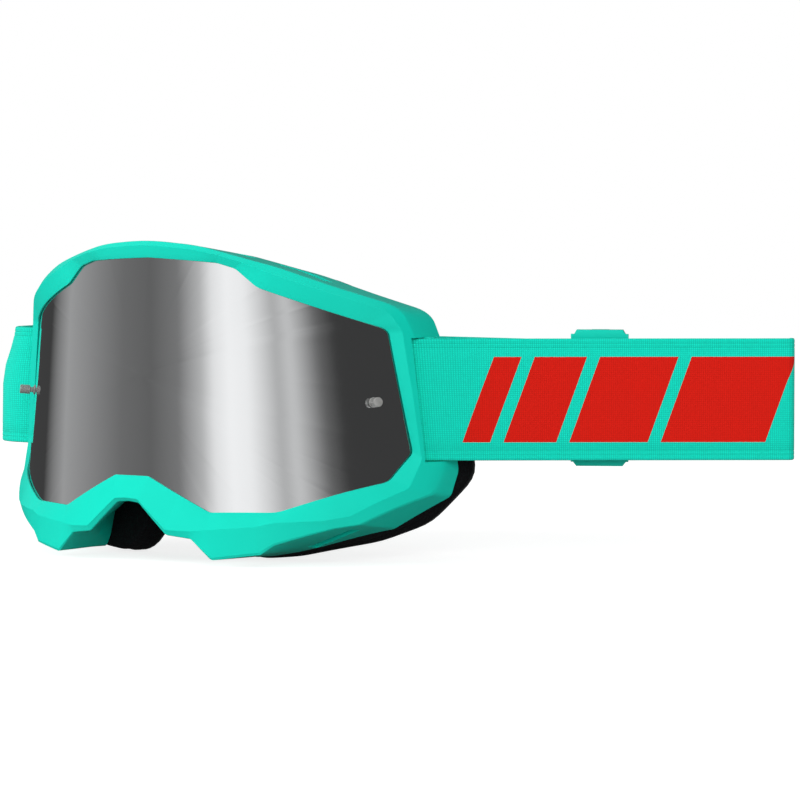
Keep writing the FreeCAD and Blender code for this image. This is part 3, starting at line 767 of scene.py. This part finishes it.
def build_slider(finish):
    """Three-bar slider: outer bars inside the strap, middle bar outside it."""
    top, edge = SLIDER_H / 2, STRAP_W / 2 + 0.15
    inner1 = -WEB / 2 - LAYER_GAP
    inner0 = inner1 - SLIDER_T
    outer0 = WEB * 1.5 + LAYER_GAP + 0.1
    outer1 = outer0 + SLIDER_MID_T
    half, lap, rail = SLIDER_L / 2, 0.3, 0.9
    shoulder = SLIDER_BAR / 2 + 1.6
    parts = []
    for sign in (1, -1):
        z = (MID_Z + sign * edge - (REAR_DROP if sign > 0 else 0), MID_Z + sign * top)
        parts.append(line_block(middle, (-half, half), (inner0, rail), z, taper=2.0))
        parts.append(line_block(middle, (-shoulder, shoulder), (rail - lap, outer1),
                                (z[0] + sign * 0.05, z[1] - sign * 0.05)))
    reach = (MID_Z - edge - 1, MID_Z + edge + 1)
    for s in (-half + 0.03, half - SLIDER_BAR - 0.03):
        parts.append(line_block(middle, (s, s + SLIDER_BAR), (inner0 + 0.03, inner1), reach))
    parts.append(line_block(middle, (-SLIDER_BAR / 2, SLIDER_BAR / 2), (outer0, outer1 - 0.03), reach))
    obj = parts[0]
    obj.name = obj.data.name = "slider_buckle"
    for part in parts[1:]:
        combine(obj, part, "UNION")
    rounded_edges(obj, 0.35)
    smooth(obj, 40)
    finish_piece(obj, finish, "buckle_plastic", "slider", "slider")


def build_ring(finish):
    """Rectangular ring of round bar that joins the two straps."""
    y, z = REAR_Y + TAIL_OFF / 2, STRAP_W / 2 + 0.5 + RING_BAR_R
    half, corner_r, around_bar, rows = RING_PITCH / 2, 2.0, 20, []
    for cx, cz, start in ((half, z, 0), (-half, z, 90), (-half, -z, 180), (half, -z, 270)):
        for k in range(7):
            a = math.radians(start + 15 * k)
            out = Vector((math.cos(a), 0, math.sin(a)))
            centre = Vector((RING_X + cx - math.copysign(corner_r, cx), y,
                             MID_Z + cz - math.copysign(corner_r, cz)))
            spine = centre + out * corner_r
            rows.append([level(*(spine + (out * math.cos(b) + Vector((0, 1, 0)) * math.sin(b)) * RING_BAR_R))
                         for b in (math.tau * m / around_bar for m in range(around_bar))])
    obj = wrapped("joining_ring", rows, tube=True, sharp=60)
    finish_piece(obj, finish, "buckle_plastic", "goggles", "strap_ring")


def build_bars(finish):
    """Moulded bars that the straps go round, inside the frame's side slots."""
    length = STRAP_W + 0.9
    profile = [(0, 0), (0, 1.8), (0.2, BAR_R), (length / 2, 1.95), (length - 0.2, BAR_R), (length, 1.8),
               (length, 0)]
    for side, sign in (("left", 1), ("right", -1)):
        base = level(sign * BAR_X, BAR_Y, MID_Z - length / 2)
        bar = turned("strap_bar_" + side, profile, base, Vector((0, 0, 1)))
        finish_piece(bar, finish, "frame_plastic", "goggles")


def unmoved(q, v):
    """Webbing that stays on its path."""
    return Vector((0, 0)), 0


def stitches(name, line, rows, faces, finish, body, node, follow=unmoved):
    """Rows of thread across the webbing, on the given faces. Every stitch is a short bead."""
    def sewn(s, n, z):
        q = line.at(s) + line.n * n
        shift, rise = follow(q, z - MID_Z + STRAP_W / 2)
        return level(*(q + shift), z + rise)
    made = []
    half, pitch, length = STRAP_W / 2 - 3.2, 2.6, 2.0
    count = int(2 * half / pitch)
    for s in rows:
        for n in faces:
            for k in range(count):
                z = MID_Z - half + pitch * (k + 0.5)
                lean_s = 0.35 * (1 if k % 2 else -1)
                ends = sewn(s - lean_s, n, z - length / 2), sewn(s + lean_s, n, z + length / 2)
                axis = (ends[1] - ends[0]).normalized()
                size = (ends[1] - ends[0]).length / MM
                profile = [(0, 0), (0.08, 0.16), (size * 0.3, 0.24), (size * 0.7, 0.24),
                           (size - 0.08, 0.16), (size, 0)]
                made.append((profile, ends[0], axis))
    beads = [turned("stitch", *item, around_axis=8, sharp=70) for item in made]
    finish_piece(join(name, beads), finish, "thread", body, node)


def build_stitching(finish):
    """Where each end of webbing is turned back and sewn down."""
    face = WEB / 2 + 0.02
    lap = WEB + SEAM + face
    side = Line((SIDE_X, BAR_Y), math.pi / 2)
    ring_end = Line((RING_X - RING_PITCH / 2, REAR_Y), 0)
    stitches("tack_left_bar", near, (14, 19), (lap - LEG,), finish, "goggles", "stitching_left_bar")
    stitches("tack_right_bar", side, (11.5, 14.5), (face, -lap), finish, "goggles",
             "stitching_right_bar", bulging)
    stitches("tack_ring", ring_end, (-19, -13), (-face, lap), finish, "goggles", "stitching_ring")
    stitches("tack_slider", middle, (-8.2,), (TAIL_OFF + face, TAIL_OFF - lap), finish, "slider",
             "stitching_slider")


def build_beads(finish):
    """Three silicone lines on the inner face of the strap, against a helmet."""
    x0, x1, steps, around_half, spacing = RING_X + 14, rear.at(bend_s).x - 16, 24, 8, 9
    made = []
    for dz in (-spacing, 0, spacing):
        rows = []
        for k in range(steps + 1):
            t = k / steps
            size = math.sqrt(max(1 - (2 * t - 1) ** 8, 0.0004))
            ring = []
            for m in range(around_half + 1):
                a = math.pi * m / around_half
                ring.append(level(mix(x0, x1, t), REAR_Y - WEB / 2 + 0.05 - 0.4 * size * math.sin(a),
                                  MID_Z + dz + size * math.cos(a)))
            rows.append(ring)
        made.append(wrapped("bead", rows, sharp=60))
    finish_piece(join("grip_lines", made), finish, "silicone", "goggles", "grip_beads")


# --- materials ----------------------------------------------------------------------------
class Nodes:
    """Short way to add and link a material's nodes."""

    def __init__(self, name):
        self.material = bpy.data.materials.new(name)
        self.material.use_nodes = True
        self.tree = self.material.node_tree
        self.shader = self.tree.nodes["Principled BSDF"]

    def add(self, kind, **settings):
        node = self.tree.nodes.new("ShaderNode" + kind)
        for key, value in settings.items():
            setattr(node, key, value)
        return node

    def link(self, source, target):
        self.tree.links.new(source, target)

    def math(self, operation, a, b=None):
        node = self.add("Math", operation=operation)
        for socket, value in zip(node.inputs, (a, b)):
            if isinstance(value, (int, float)):
                socket.default_value = value
            elif value is not None:
                self.link(value, socket)
        return node.outputs[0]

    def place(self):
        return self.add("TexCoord").outputs["Object"]

    def noise(self, scale, detail):
        node = self.add("TexNoise")
        node.inputs["Scale"].default_value = scale
        node.inputs["Detail"].default_value = detail
        self.link(self.place(), node.inputs["Vector"])
        return node.outputs[0]

    def blend(self, factor, a, b):
        """Colour a where factor is 0 and b where it is 1."""
        node = self.add("Mix", data_type="RGBA")
        self.link(factor, node.inputs[0])
        for socket, value in ((node.inputs[6], a), (node.inputs[7], b)):
            if isinstance(value, (tuple, list)):
                socket.default_value = (*value, 1)
            else:
                self.link(value, socket)
        return node.outputs[2]

    def spread(self, source, low, high):
        """A value from 0 to 1 moved to the range from low to high."""
        node = self.add("MapRange")
        self.link(source, node.inputs[0])
        node.inputs[3].default_value, node.inputs[4].default_value = low, high
        return node.outputs[0]

    def bump(self, height, strength, distance):
        node = self.add("Bump")
        node.inputs["Strength"].default_value = strength
        node.inputs["Distance"].default_value = distance
        self.link(height, node.inputs["Height"])
        self.link(node.outputs[0], self.shader.inputs["Normal"])

    def colour(self, source):
        self.link(source, self.shader.inputs["Base Color"])

    def roughness(self, source):
        self.link(source, self.shader.inputs["Roughness"])

    def set(self, **values):
        for key, value in values.items():
            self.shader.inputs[key.replace("_", " ")].default_value = value


def shade(colour, factor):
    return tuple(min(c * factor, 1) for c in colour[:3])


def moulded_plastic(name, colour, roughness):
    """Satin plastic: fine spark-eroded grain and faint flow marks in colour and gloss."""
    m = Nodes(name)
    flow = m.noise(45.0, 3)
    m.colour(m.blend(flow, shade(colour, 0.93), shade(colour, 1.05)))
    m.roughness(m.spread(m.noise(260.0, 5), roughness - 0.06, roughness + 0.06))
    m.bump(m.noise(1400.0, 2), 0.35, 0.00004)
    m.set(Specular_IOR_Level=0.22)
    return m.material


def mirror_coating(name, colour):
    """Silver mirror on a clear lens, with a trace of haze."""
    m = Nodes(name)
    m.colour(m.blend(m.noise(30.0, 2), shade(colour, 0.97), shade(colour, 1.02)))
    m.roughness(m.spread(m.noise(900.0, 3), 0.03, 0.05))
    m.set(Metallic=1.0)
    return m.material


def clear_stud(name, colour):
    """Polished translucent plastic that looks bright grey."""
    m = Nodes(name)
    m.colour(m.blend(m.noise(700.0, 3), shade(colour, 0.85), shade(colour, 1.1)))
    m.roughness(m.spread(m.noise(1500.0, 2), 0.12, 0.22))
    m.set(Transmission_Weight=0.25, IOR=1.49)
    return m.material


def foam(name, colour, cells, depth, sheen=0.0):
    """Open-cell foam, or brushed fleece where sheen is set. Its colour is painted shade: darker down in each
    pore and lighter on the cell walls, in step with the bumps.
    """
    m = Nodes(name)
    pores = m.add("TexVoronoi")
    pores.inputs["Scale"].default_value = cells
    m.link(m.place(), pores.inputs["Vector"])
    # painted shade: the colour darkens towards each pore's pit, where the bump is lowest, and lightens on the
    # cell walls
    m.colour(m.blend(pores.outputs["Distance"], shade(colour, 0.35), shade(colour, 1.6)))
    rough = m.math("ADD", pores.outputs["Distance"], m.math("MULTIPLY", m.noise(cells * 0.6, 4), 0.5))
    m.bump(rough, 0.7, depth)
    m.set(Roughness=0.95, Sheen_Weight=sheen, Specular_IOR_Level=0.2)
    return m.material


def weave_height(m, u, v, pitch):
    """Fine ribbed weave from UVs in metres: rows of knots, some fuller than others."""
    ribs = m.math("ABSOLUTE", m.math("SINE", m.math("MULTIPLY", u, math.pi / pitch)))
    picks = m.math("ABSOLUTE", m.math("SINE", m.math("MULTIPLY", v, math.pi / pitch)))
    knots = m.math("MULTIPLY", m.math("MULTIPLY", ribs, picks), m.spread(m.noise(0.9 / pitch, 3), 0.3, 1.7))
    return m.math("ADD", knots, m.math("MULTIPLY", ribs, 0.25))


def webbing_cloth(name, colour, pitch, print_colour=None, stripes=(), band=(0, 0), slant=0.0):
    """Woven elastic with slubs and, if given, slanting woven stripes between two heights. The weave's relief
    is painted into the colour as shade: darker in the hollows between knots and lighter on the knots, with
    real slub tone on top.
    """
    m = Nodes(name)
    uv = m.add("UVMap", uv_map="weave")
    split = m.add("SeparateXYZ")
    m.link(uv.outputs[0], split.inputs[0])
    u, v = split.outputs[0], split.outputs[1]
    height = weave_height(m, u, v, pitch)
    slubs = m.noise(420.0, 4)
    # painted shade: the colour follows the weave's height, darker in its hollows and lighter on its knots;
    # the slubs add real tone
    base = m.blend(m.math("MULTIPLY", height, m.spread(slubs, 0.55, 1.1)), shade(colour, 0.80),
                   shade(colour, 1.20))
    if print_colour:
        # the stripes get the same painted weave shade, darker in the hollows and lighter on the knots
        ink = m.blend(m.math("MULTIPLY", height, m.spread(slubs, 0.7, 1.0)), shade(print_colour, 0.85),
                      shade(print_colour, 1.06))
        low, high = band
        inside = m.math("MULTIPLY", m.math("GREATER_THAN", v, low), m.math("LESS_THAN", v, high))
        across = m.math("SUBTRACT", u, m.math("MULTIPLY", m.math("SUBTRACT", v, low), slant))
        mask = None
        for start, stop in stripes:
            one = m.math("MULTIPLY", m.math("GREATER_THAN", across, start), m.math("LESS_THAN", across, stop))
            mask = one if mask is None else m.math("ADD", mask, one)
        base = m.blend(m.math("MULTIPLY", mask, inside), base, ink)
    m.colour(base)
    m.roughness(m.spread(slubs, 0.75, 0.95))
    m.bump(m.math("ADD", height, m.math("MULTIPLY", slubs, 0.5)), 0.55, 0.00016)
    m.set(Sheen_Weight=0.05, Specular_IOR_Level=0.12)
    return m.material


def rubbery(name, colour, roughness):
    """Dull, slightly mottled surface: washers, thread and silicone."""
    m = Nodes(name)
    m.colour(m.blend(m.noise(300.0, 3), shade(colour, 0.8), shade(colour, 1.15)))
    m.roughness(m.spread(m.noise(800.0, 3), roughness - 0.08, roughness + 0.08))
    m.bump(m.noise(1800.0, 2), 0.3, 0.00003)
    return m.material


# --- settings shown in the sidebar -----------------------------------------------------------
def colour_setting(name, description, default):
    return bpy.props.FloatVectorProperty(name=name, description=description, subtype="COLOR", size=3,
                                         min=0, max=1, default=default)


class GoggleColours(bpy.types.PropertyGroup):
    plastic: colour_setting("Frame", "Colour of the moulded frame and buckles", (0.004, 0.60, 0.455))
    strap: colour_setting("Strap", "Colour of the elastic webbing", (0.006, 0.60, 0.45))
    stripe: colour_setting("Stripes", "Colour of the stripes woven into the strap", (0.62, 0.012, 0.006))
    mirror: colour_setting("Mirror", "Tint of the mirrored lens", (0.86, 0.87, 0.88))
    foam: colour_setting("Foam", "Colour of the face foam", (0.006, 0.006, 0.007))


def length_setting(name, description, default, most):
    return bpy.props.FloatProperty(name=name, description=description, unit="LENGTH", default=default,
                                   min=0.0003, max=most, precision=5)


class GoggleSizes(bpy.types.PropertyGroup):
    weave: length_setting("Weave", "Pitch of the webbing's weave", 0.00072, 0.003)
    stripe_low: length_setting("Stripes from", "Lower end of the stripes on the webbing", 0.0063, 0.042)
    stripe_high: length_setting("Stripes to", "Upper end of the stripes on the webbing", 0.0357, 0.042)
    stripe_slant: bpy.props.FloatProperty(
        name="Slant", description="How far the stripes lean, per unit of height", default=0.36, min=-1, max=1)
    roughness: bpy.props.FloatProperty(
        name="Plastic roughness", description="Roughness of the frame's plastic", subtype="FACTOR",
        default=0.42, min=0.1, max=0.9)


def colours():
    return bpy.context.scene.goggle_colours


def sizes():
    return bpy.context.scene.goggle_sizes


def stripe_spans(first):
    """Start and end of each woven stripe along the strap, in metres."""
    spans, start = [], first
    for width in STRIPE_WIDTHS:
        spans.append((start * MM, (start + width) * MM))
        start += width + STRIPE_GAP
    return spans


def near_start():
    """Length of webbing before its outer layer leaves the bar."""
    corners = main_corners()
    points = path_points(corners[:5] + [near.corner(0, -LEG, 0)])
    return sum((q - p).length for p, q in zip(points, points[1:]))


class OBJECT_OT_goggle_frame(bpy.types.Operator):
    """Moulded frame with its lens opening, nose arch, vents, strap slots and bars"""
    bl_idname = "object.goggle_frame"
    bl_label = "Frame"

    def execute(self, context):
        finish = moulded_plastic("satin frame plastic", colours().plastic, sizes().roughness)
        build_shell(finish)
        build_bars(finish)
        return {"FINISHED"}


class OBJECT_OT_goggle_lens(bpy.types.Operator):
    """Curved mirror lens"""
    bl_idname = "object.goggle_lens"
    bl_label = "Lens"

    def execute(self, context):
        build_lens(mirror_coating("silver mirror", colours().mirror))
        return {"FINISHED"}


class OBJECT_OT_goggle_studs(bpy.types.Operator):
    """Tear-off studs and their washers"""
    bl_idname = "object.goggle_studs"
    bl_label = "Tear-off studs"

    def execute(self, context):
        build_posts(clear_stud("clear stud plastic", (0.33, 0.33, 0.32)),
                    rubbery("black washer", (0.02,) * 3, 0.6))
        return {"FINISHED"}


class OBJECT_OT_goggle_foam(bpy.types.Operator):
    """Layered face foam, its fleece, and the filters in the vents"""
    bl_idname = "object.goggle_foam"
    bl_label = "Foam"

    def execute(self, context):
        black = colours().foam
        build_face_foam(foam("face foam", black, 1500.0, 0.0003),
                        foam("brushed fleece", shade(black, 1.3), 3200.0, 0.00015, sheen=0.4))
        build_vent_foam(foam("open filter foam", shade(black, 2.0), 700.0, 0.0005))
        return {"FINISHED"}


class OBJECT_OT_goggle_strap(bpy.types.Operator):
    """Elastic strap with its woven stripes"""
    bl_idname = "object.goggle_strap"
    bl_label = "Strap"

    def execute(self, context):
        s, c = sizes(), colours()
        spans = stripe_spans(near_start() + STRIPE_START)
        printed = webbing_cloth("striped webbing", c.strap, s.weave, c.stripe, spans,
                                (s.stripe_low, s.stripe_high), s.stripe_slant)
        build_straps(printed, webbing_cloth("plain webbing", c.strap, s.weave))
        return {"FINISHED"}


class OBJECT_OT_goggle_buckles(bpy.types.Operator):
    """Slider and joining ring on the strap"""
    bl_idname = "object.goggle_buckles"
    bl_label = "Buckles"

    def execute(self, context):
        finish = moulded_plastic("satin buckle plastic", shade(colours().plastic, 0.95),
                                 sizes().roughness + 0.04)
        build_slider(finish)
        build_ring(finish)
        return {"FINISHED"}


class OBJECT_OT_goggle_sewing(bpy.types.Operator):
    """Rows of stitching and the silicone grip lines"""
    bl_idname = "object.goggle_sewing"
    bl_label = "Stitching and grip"

    def execute(self, context):
        build_stitching(rubbery("sewing thread", shade(colours().strap, 0.9), 0.8))
        build_beads(rubbery("silicone grip", (0.55, 0.60, 0.60), 0.3))
        return {"FINISHED"}


# --- stage -------------------------------------------------------------------------------
CAMERA_AZIMUTH, CAMERA_HEIGHT, CAMERA_REACH = math.radians(37.0), math.radians(2.06), 1.614
AIM_RIGHT, AIM_DOWN = math.radians(3.125), math.radians(1.097)
FOCAL, SENSOR = 210.5, 36.0

# Brightness of the studio round the goggles: degrees from the front towards the wearer's left.
STUDIO = [(-180, 0.05), (-146, 0.05), (-131, 0.22), (-116, 0.36), (-92, 0.28), (-60, 0.16), (-39, 0.13),
          (-22, 0.20), (-10, 0.50), (-4, 0.85), (3, 1.0), (10.5, 0.95), (16, 0.72), (21.5, 0.45), (26, 0.62),
          (30, 0.40), (34.5, 0.14), (39.5, 0.045), (180, 0.05)]
PANEL_LOW, PANEL_HIGH, PANEL_LEAN, PANEL_LEVEL = -0.05, 0.30, 4.0, 0.195   # the panels turn as they rise
CEILING, CEILING_FROM, CEILING_FULL = (0.5, 0.5, 0.5, 1), 0.42, 0.75
FLOOR_R, FLOOR_GLOW = 0.8, 0.8
# Softboxes: name, place, side in metres, power in watts.
SOFTBOXES = (("key", (-1.2, -1.05, 0.55), 0.7, 21), ("fill", (0.95, -1.15, 0.5), 1.0, 19))


def build_world():
    """Soft studio: tall leaning panels, light and dark, round the goggles, and a grey ceiling."""
    world = bpy.data.worlds.new("studio")
    bpy.context.scene.world = world
    world.use_nodes = True
    tree = world.node_tree
    tree.nodes.clear()
    link = tree.links.new

    def add(kind, **settings):
        node = tree.nodes.new("ShaderNode" + kind)
        for key, value in settings.items():
            setattr(node, key, value)
        return node

    direction = add("TexCoord").outputs["Generated"]
    split = add("SeparateXYZ")
    link(direction, split.inputs[0])
    front = add("Math", operation="MULTIPLY")
    front.inputs[1].default_value = -1.0
    link(split.outputs[1], front.inputs[0])
    turn = add("Math", operation="ARCTAN2")
    link(split.outputs[0], turn.inputs[0])
    link(front.outputs[0], turn.inputs[1])
    share = add("MapRange")
    share.inputs[1].default_value, share.inputs[2].default_value = -math.pi, math.pi
    lean = add("MapRange")
    lean.inputs[1].default_value, lean.inputs[2].default_value = PANEL_LOW, PANEL_HIGH
    lean.inputs[3].default_value = PANEL_LEAN * (PANEL_LOW - PANEL_LEVEL)
    lean.inputs[4].default_value = PANEL_LEAN * (PANEL_HIGH - PANEL_LEVEL)
    link(split.outputs[2], lean.inputs[0])
    angle_there = add("Math", operation="ADD")
    link(turn.outputs[0], angle_there.inputs[0])
    link(lean.outputs[0], angle_there.inputs[1])
    link(angle_there.outputs[0], share.inputs[0])
    ramp = add("ValToRGB")
    link(share.outputs[0], ramp.inputs[0])
    stops = ramp.color_ramp.elements
    while len(stops) < len(STUDIO):
        stops.new(1.0)
    for stop, (angle, value) in zip(stops, STUDIO):
        stop.position, stop.color = (angle + 180) / 360, (value, value, value, 1)
    ceiling = add("MapRange", interpolation_type="SMOOTHSTEP")
    ceiling.inputs[1].default_value, ceiling.inputs[2].default_value = CEILING_FROM, CEILING_FULL
    link(split.outputs[2], ceiling.inputs[0])
    panels = add("Mix", data_type="RGBA")
    link(ceiling.outputs[0], panels.inputs[0])
    link(ramp.outputs[0], panels.inputs[6])
    panels.inputs[7].default_value = CEILING
    seen = add("Mix", data_type="RGBA")
    path = add("LightPath")
    link(path.outputs["Is Camera Ray"], seen.inputs[0])
    link(panels.outputs[2], seen.inputs[6])
    seen.inputs[7].default_value = (1, 1, 1, 1)
    background = add("Background")
    link(seen.outputs[2], background.inputs[0])
    out = add("OutputWorld")
    link(background.outputs[0], out.inputs[0])


def pale_floor():
    """Plain pale floor that keeps a faint shadow."""
    m = Nodes("pale floor")
    m.colour(m.blend(m.noise(2.0, 3), (0.44, 0.44, 0.44), (0.48, 0.48, 0.48)))
    m.set(Roughness=0.9, Specular_IOR_Level=0.1, Emission_Color=(1, 1, 1, 1))
    glow = m.math("MULTIPLY", m.add("LightPath").outputs["Is Camera Ray"], FLOOR_GLOW)
    m.link(glow, m.shader.inputs["Emission Strength"])
    return m.material


def softbox(name, place, target, side, power):
    """A square light aimed at the goggles; the lens mirrors the panels only."""
    light = bpy.data.lights.new(name, "AREA")
    light.shape, light.size, light.size_y, light.energy = "RECTANGLE", side, side, power
    obj = bpy.data.objects.new(name, light)
    bpy.context.scene.collection.objects.link(obj)
    obj.location = place
    obj.rotation_euler = (Vector(target) - Vector(place)).to_track_quat("-Z", "Y").to_euler()
    obj.visible_glossy = False


class OBJECT_OT_goggle_stage(bpy.types.Operator):
    """Pale floor, soft studio light and the camera"""
    bl_idname = "object.goggle_stage"
    bl_label = "Stage"

    def execute(self, context):
        deselect()
        bpy.ops.mesh.primitive_circle_add(vertices=96, radius=FLOOR_R, fill_type="NGON")
        floor = bpy.context.object
        floor.name = "floor"
        floor.data.materials.append(pale_floor())
        floor.visible_glossy = False
        build_world()
        target = (CAD_BOX[0] + CAD_BOX[1]) / 2
        for name, place, side, power in SOFTBOXES:
            softbox(name, place, target, side, power)
        scene = context.scene
        scene.view_settings.view_transform = "Standard"
        camera = bpy.data.objects.new("camera", bpy.data.cameras.new("camera"))
        scene.collection.objects.link(camera)
        camera.data.lens, camera.data.sensor_width = FOCAL, SENSOR
        back = Vector((math.sin(CAMERA_AZIMUTH) * math.cos(CAMERA_HEIGHT),
                       -math.cos(CAMERA_AZIMUTH) * math.cos(CAMERA_HEIGHT), math.sin(CAMERA_HEIGHT)))
        camera.location = ORIGIN + back * CAMERA_REACH
        camera.rotation_euler = (math.pi / 2 - CAMERA_HEIGHT - AIM_DOWN, 0, CAMERA_AZIMUTH - AIM_RIGHT)
        scene.camera = camera
        return {"FINISHED"}


STEPS = (OBJECT_OT_goggle_frame, OBJECT_OT_goggle_lens, OBJECT_OT_goggle_studs, OBJECT_OT_goggle_foam,
         OBJECT_OT_goggle_strap, OBJECT_OT_goggle_buckles, OBJECT_OT_goggle_sewing, OBJECT_OT_goggle_stage)


class VIEW3D_PT_goggles(bpy.types.Panel):
    bl_label = "Motocross goggles"
    bl_idname = "VIEW3D_PT_goggles"
    bl_space_type = "VIEW_3D"
    bl_region_type = "UI"
    bl_category = "Goggles"

    def draw(self, context):
        for group in (colours(), sizes()):
            for name in group.__annotations__:
                self.layout.prop(group, name)
        for step in STEPS:
            self.layout.operator(step.bl_idname)


CLASSES = (GoggleColours, GoggleSizes, *STEPS, VIEW3D_PT_goggles)


def register():
    for cls in CLASSES:
        bpy.utils.register_class(cls)
    bpy.types.Scene.goggle_colours = bpy.props.PointerProperty(type=GoggleColours)
    bpy.types.Scene.goggle_sizes = bpy.props.PointerProperty(type=GoggleSizes)


def unregister():
    del bpy.types.Scene.goggle_colours
    del bpy.types.Scene.goggle_sizes
    for cls in reversed(CLASSES):
        bpy.utils.unregister_class(cls)


def main():
    register()
    bpy.ops.object.goggle_frame()
    bpy.ops.object.goggle_lens()
    bpy.ops.object.goggle_studs()
    bpy.ops.object.goggle_foam()
    bpy.ops.object.goggle_strap()
    bpy.ops.object.goggle_buckles()
    bpy.ops.object.goggle_sewing()
    bpy.ops.object.goggle_stage()


if __name__ == "__main__":
    main()
